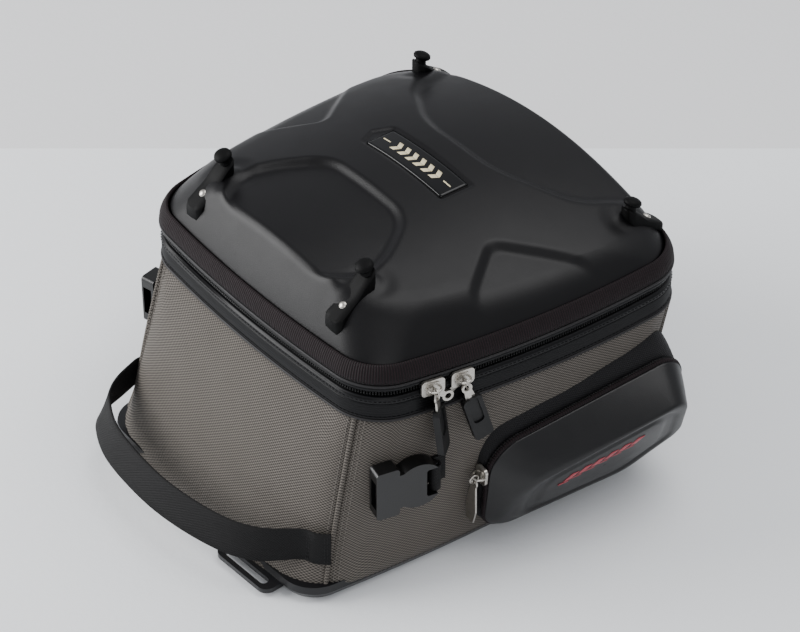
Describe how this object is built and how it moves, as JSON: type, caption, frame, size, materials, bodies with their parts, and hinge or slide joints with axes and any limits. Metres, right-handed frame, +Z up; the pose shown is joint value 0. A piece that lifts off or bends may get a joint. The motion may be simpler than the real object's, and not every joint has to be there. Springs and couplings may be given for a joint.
{
  "type": "motorcycle tank bag",
  "caption": "Soft motorcycle tank bag with a zipped moulded lid, padded fabric walls, moulded side pockets, a moulded base tray and a webbing carry handle.",
  "frame": {"origin": "on the ground under the middle of the lid, on the bag's left-right symmetry plane", "axes": "+Z up, +Y forwards to the handlebars, +X to the rider's right; the carry handle is at the rear (-Y)"},
  "size_m": [0.404, 0.3863, 0.2409],
  "materials": {
    "moulded_plastic": "satin black injection-moulded nylon",
    "anti_slip_rubber": "black anti-slip rubber with a fine grid",
    "stiffener_board": "black polyethylene stiffener board",
    "grey_nylon": "warm grey ballistic nylon, coarse basket weave",
    "edge_piping": "black woven piping",
    "lining_fabric": "grey plain-weave lining",
    "black_band": "black coated fabric with fine ridges",
    "zip_coil": "black nylon coil zip",
    "ribbed_binding": "black ribbed grosgrain binding",
    "moulded_shell": "black moulded foam shell with a satin skin",
    "nameplate_plastic": "gloss black plate with plain pale marks",
    "rivet_steel": "polished steel",
    "zip_metal": "nickel-plated zinc",
    "pull_rubber": "black moulded rubber",
    "webbing": "black woven webbing",
    "pocket_fabric": "black fine-weave fabric"
  },
  "bodies": {
    "bag_body": {"anti_slip_pad": "anti_slip_rubber", "base_tray": "moulded_plastic", "body_lining": "lining_fabric", "body_piping": "edge_piping", "buckle_web_left": "webbing", "buckle_web_right": "webbing", "corner_piping": "edge_piping", "expansion_band": "black_band", "floor_board": "stiffener_board", "front_panel": "grey_nylon", "front_strap_tabs": "moulded_plastic", "handle_end_tabs": "webbing", "left_panel": "grey_nylon", "lid_hinge_strip": "black_band", "lower_zip_coil": "zip_coil", "lower_zip_tape": "black_band", "pocket_gusset_left": "pocket_fabric", "pocket_gusset_right": "pocket_fabric", "pocket_zip_left": "black_band", "pocket_zip_right": "black_band", "rear_panel": "grey_nylon", "rear_strap_tabs": "moulded_plastic", "right_panel": "grey_nylon"},
    "lid": {"lid_shell": "moulded_shell", "lid_lining": "lining_fabric", "lid_binding": "ribbed_binding", "lid_piping": "edge_piping", "upper_zip_tape": "black_band", "upper_zip_coil": "zip_coil", "nameplate": "nameplate_plastic", "bungee_hooks": "moulded_plastic", "hook_rivets": "rivet_steel"},
    "rear_zip_slider": {"rear_slider": "zip_metal"},
    "front_zip_slider": {"front_slider": "zip_metal"},
    "rear_zip_pull": {"rear_pull_ring": "zip_metal", "rear_pull_tag": "zip_metal", "rear_pull_sleeve": "pull_rubber"},
    "front_zip_pull": {"front_pull_ring": "zip_metal", "front_pull_tag": "zip_metal", "front_pull_sleeve": "pull_rubber"},
    "handle": {"carry_handle": "webbing"},
    "right_buckle": {"buckle_right": "moulded_plastic"},
    "left_buckle": {"buckle_left": "moulded_plastic"},
    "right_pocket_cover": {"pocket_cover_right": "moulded_shell", "pocket_binding_right": "ribbed_binding"},
    "left_pocket_cover": {"pocket_cover_left": "moulded_shell", "pocket_binding_left": "ribbed_binding"},
    "right_pocket_slider": {"pocket_slider_right": "zip_metal"},
    "left_pocket_slider": {"pocket_slider_left": "zip_metal"},
    "right_pocket_pull": {"pocket_pull_ring_right": "zip_metal", "pocket_pull_tag_right": "zip_metal"},
    "left_pocket_pull": {"pocket_pull_ring_left": "zip_metal", "pocket_pull_tag_left": "zip_metal"}
  },
  "joints": [
    {"name": "lid_hinge", "type": "hinge", "parent": "bag_body", "child": "lid", "pos_m": [0, 0.153, 0.1685], "axis": [-1, 0, 0], "range_deg": [0, 100]},
    {"name": "rear_slider_travel", "type": "hinge", "parent": "bag_body", "child": "rear_zip_slider", "pos_m": [-0.63808, 0.07431, 0], "axis": [0, 0, -1], "range_deg": [0, 1.4]},
    {"name": "front_slider_travel", "type": "hinge", "parent": "bag_body", "child": "front_zip_slider", "pos_m": [-0.63808, 0.07431, 0], "axis": [0, 0, 1], "range_deg": [0, 9]},
    {"name": "rear_pull_swing", "type": "hinge", "parent": "rear_zip_slider", "child": "rear_zip_pull", "pos_m": [0.15357, -0.09157, 0.1685], "axis": [-0.2051, -0.9787, 0], "range_deg": [0, 100]},
    {"name": "front_pull_swing", "type": "hinge", "parent": "front_zip_slider", "child": "front_zip_pull", "pos_m": [0.15805, -0.06857, 0.1685], "axis": [-0.1766, -0.9843, 0], "range_deg": [0, 100]},
    {"name": "handle_swing", "type": "hinge", "parent": "bag_body", "child": "handle", "pos_m": [0, -0.178, 0.04], "axis": [-1, 0, 0], "range_deg": [-12, 45]},
    {"name": "right_buckle_swing", "type": "hinge", "parent": "bag_body", "child": "right_buckle", "pos_m": [0.1508, -0.09091, 0.091], "axis": [0, 0, 1], "range_deg": [0, 110]},
    {"name": "left_buckle_swing", "type": "hinge", "parent": "bag_body", "child": "left_buckle", "pos_m": [-0.1508, -0.09091, 0.091], "axis": [0, 0, -1], "range_deg": [0, 110]},
    {"name": "right_pocket_hinge", "type": "hinge", "parent": "bag_body", "child": "right_pocket_cover", "pos_m": [0.15644, 0.03966, 0.01671], "axis": [0.079, 0.9969, 0], "range_deg": [0, 50]},
    {"name": "left_pocket_hinge", "type": "hinge", "parent": "bag_body", "child": "left_pocket_cover", "pos_m": [-0.15644, 0.03966, 0.01671], "axis": [0.079, -0.9969, 0], "range_deg": [0, 50]},
    {"name": "right_pocket_slider_travel", "type": "hinge", "parent": "bag_body", "child": "right_pocket_slider", "pos_m": [0.15612, -0.02051, 0.07174], "axis": [-0.9919, 0.0786, 0.1002], "range_deg": [0, 80]},
    {"name": "left_pocket_slider_travel", "type": "hinge", "parent": "bag_body", "child": "left_pocket_slider", "pos_m": [-0.15612, -0.02051, 0.07174], "axis": [-0.9919, -0.0786, -0.1002], "range_deg": [0, 80]},
    {"name": "right_pocket_pull_swing", "type": "hinge", "parent": "right_pocket_slider", "child": "right_pocket_pull", "pos_m": [0.15317, -0.05769, 0.07174], "axis": [-0.9919, 0.0786, 0.1002], "range_deg": [0, 90]},
    {"name": "left_pocket_pull_swing", "type": "hinge", "parent": "left_pocket_slider", "child": "left_pocket_pull", "pos_m": [-0.15317, -0.05769, 0.07174], "axis": [-0.9919, -0.0786, -0.1002], "range_deg": [0, 90]}
  ]
}
